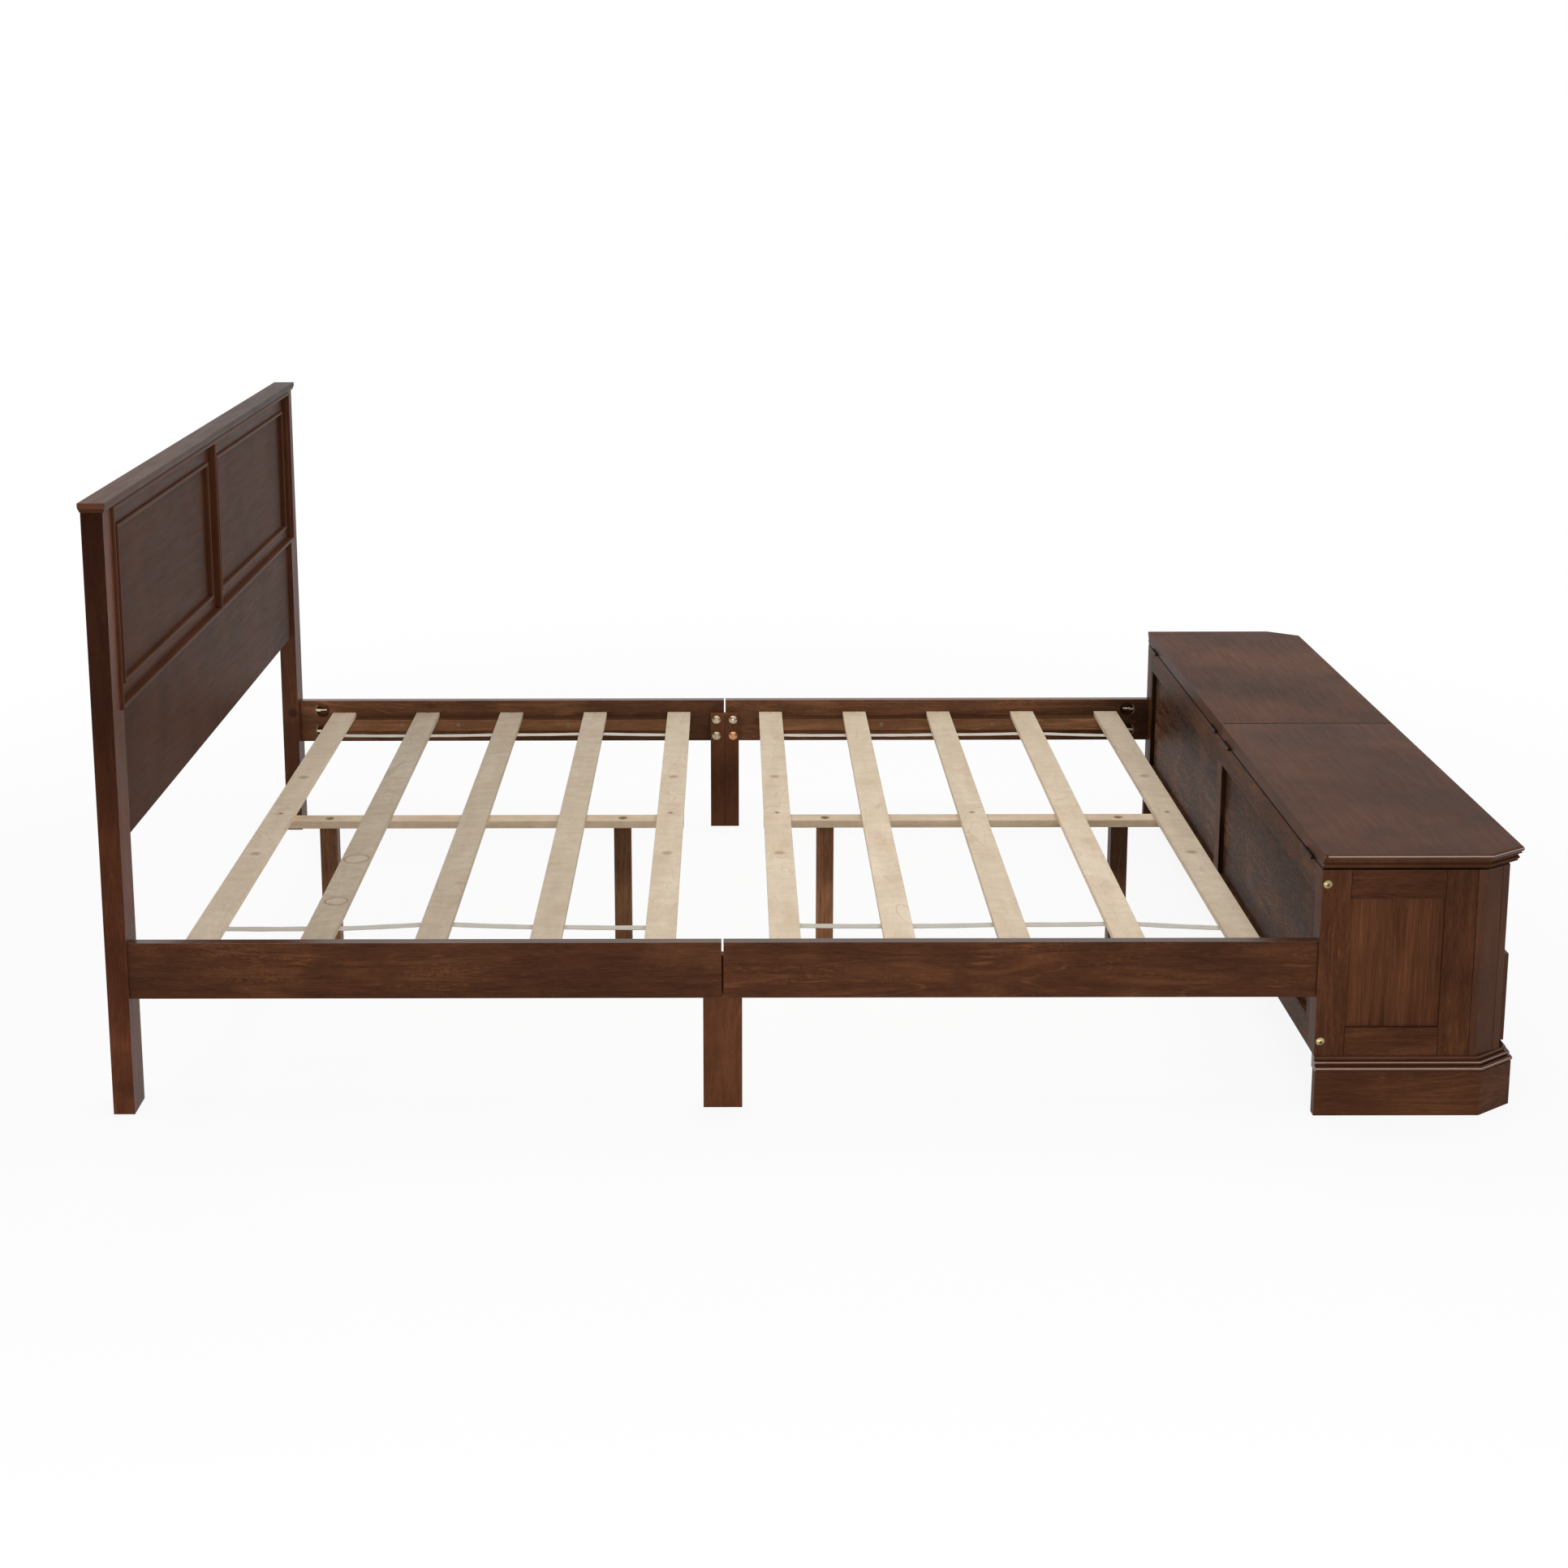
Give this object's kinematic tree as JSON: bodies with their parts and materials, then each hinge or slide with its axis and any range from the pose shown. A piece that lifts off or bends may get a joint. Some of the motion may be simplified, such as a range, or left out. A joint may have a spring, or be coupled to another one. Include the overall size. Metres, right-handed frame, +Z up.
{
  "type": "platform bed with blanket chest footboard",
  "caption": "Platform bed with a panelled headboard, a slatted deck on bolted side rails and a footboard that is a blanket chest with hinged lids and drawers.",
  "frame": {"origin": "middle of the whole footprint, on the floor, under the bed", "axes": "+X along the bed from headboard to chest, +Y across the bed, +Z up"},
  "size_m": [2.4624, 1.616, 1.084],
  "materials": {
    "walnut": "satin walnut stain over open grain",
    "walnut_panel": "satin walnut stain, greyer in this light",
    "walnut_top": "satin walnut stain, upper faces",
    "slat_wood": "sanded bare softwood",
    "leg_wood": "thin brown stain",
    "plain_board": "plain inside boards, assumed",
    "yellow_zinc": "yellow zinc plated steel",
    "dark_hinge": "dark bronze",
    "webbing": "woven tape",
    "pad": "small dark pads"
  },
  "bodies": {
    "bed": {"hb_post_near": "walnut", "hb_post_far": "walnut", "hb_cap": "walnut_top", "hb_top_rail": "walnut", "hb_mid_rail": "walnut", "hb_end_stiles": "walnut", "hb_centre_stile": "walnut", "hb_fields": "walnut_panel", "hb_lower_panel": "walnut_panel", "hb_frame_bead": "walnut", "hb_field_bead_near": "walnut", "hb_field_bead_far": "walnut", "hb_centre_bead": "walnut", "rail_near_head": "walnut", "rail_near_foot": "walnut", "rail_far_head": "walnut", "rail_far_foot": "walnut", "mid_leg_near": "walnut", "mid_leg_far": "walnut", "mid_leg_bolts": "yellow_zinc", "cleats_near": "walnut", "cleats_far": "walnut", "rail_studs": "yellow_zinc", "rail_nuts": "yellow_zinc", "rail_washers": "yellow_zinc", "slats_head": "slat_wood", "slats_foot": "slat_wood", "slat_straps": "webbing", "centre_rail_head": "slat_wood", "centre_rail_foot": "slat_wood", "centre_legs": "leg_wood", "centre_leg_bolts": "yellow_zinc", "chest_side_near": "walnut", "chest_side_far": "walnut", "chest_side_panels": "walnut", "chest_cant_near": "walnut", "chest_cant_far": "walnut", "chest_back_frame": "walnut_panel", "chest_back_panels": "walnut_panel", "chest_front_frame": "walnut", "chest_front_panels": "walnut", "chest_floors": "plain_board", "chest_partition": "plain_board", "chest_runners": "plain_board", "chest_base_moulding": "walnut", "chest_plinth": "walnut", "chest_side_bolts": "yellow_zinc", "lid_bumpers": "pad", "hinges_fixed": "dark_hinge"},
    "lid_near": {"lid_near": "walnut_top", "hinge_leaves_near": "dark_hinge"},
    "lid_far": {"lid_far": "walnut_top", "hinge_leaves_far": "dark_hinge"},
    "drawer_near": {"drawer_front_near": "walnut", "drawer_box_near": "plain_board", "drawer_knobs_near": "walnut"},
    "drawer_far": {"drawer_front_far": "walnut", "drawer_box_far": "plain_board", "drawer_knobs_far": "walnut"}
  },
  "joints": [
    {"name": "lid_near_hinge", "type": "hinge", "parent": "bed", "child": "lid_near", "pos_m": [0.85535, -0.386, 0.4445], "axis": [0, -1, 0], "range_deg": [0, 95]},
    {"name": "lid_far_hinge", "type": "hinge", "parent": "bed", "child": "lid_far", "pos_m": [0.85535, 0.386, 0.4445], "axis": [0, -1, 0], "range_deg": [0, 95]},
    {"name": "drawer_near_slide", "type": "slide", "parent": "bed", "child": "drawer_near", "axis": [1, 0, 0], "range_m": [0, 0.2]},
    {"name": "drawer_far_slide", "type": "slide", "parent": "bed", "child": "drawer_far", "axis": [1, 0, 0], "range_m": [0, 0.2]}
  ]
}
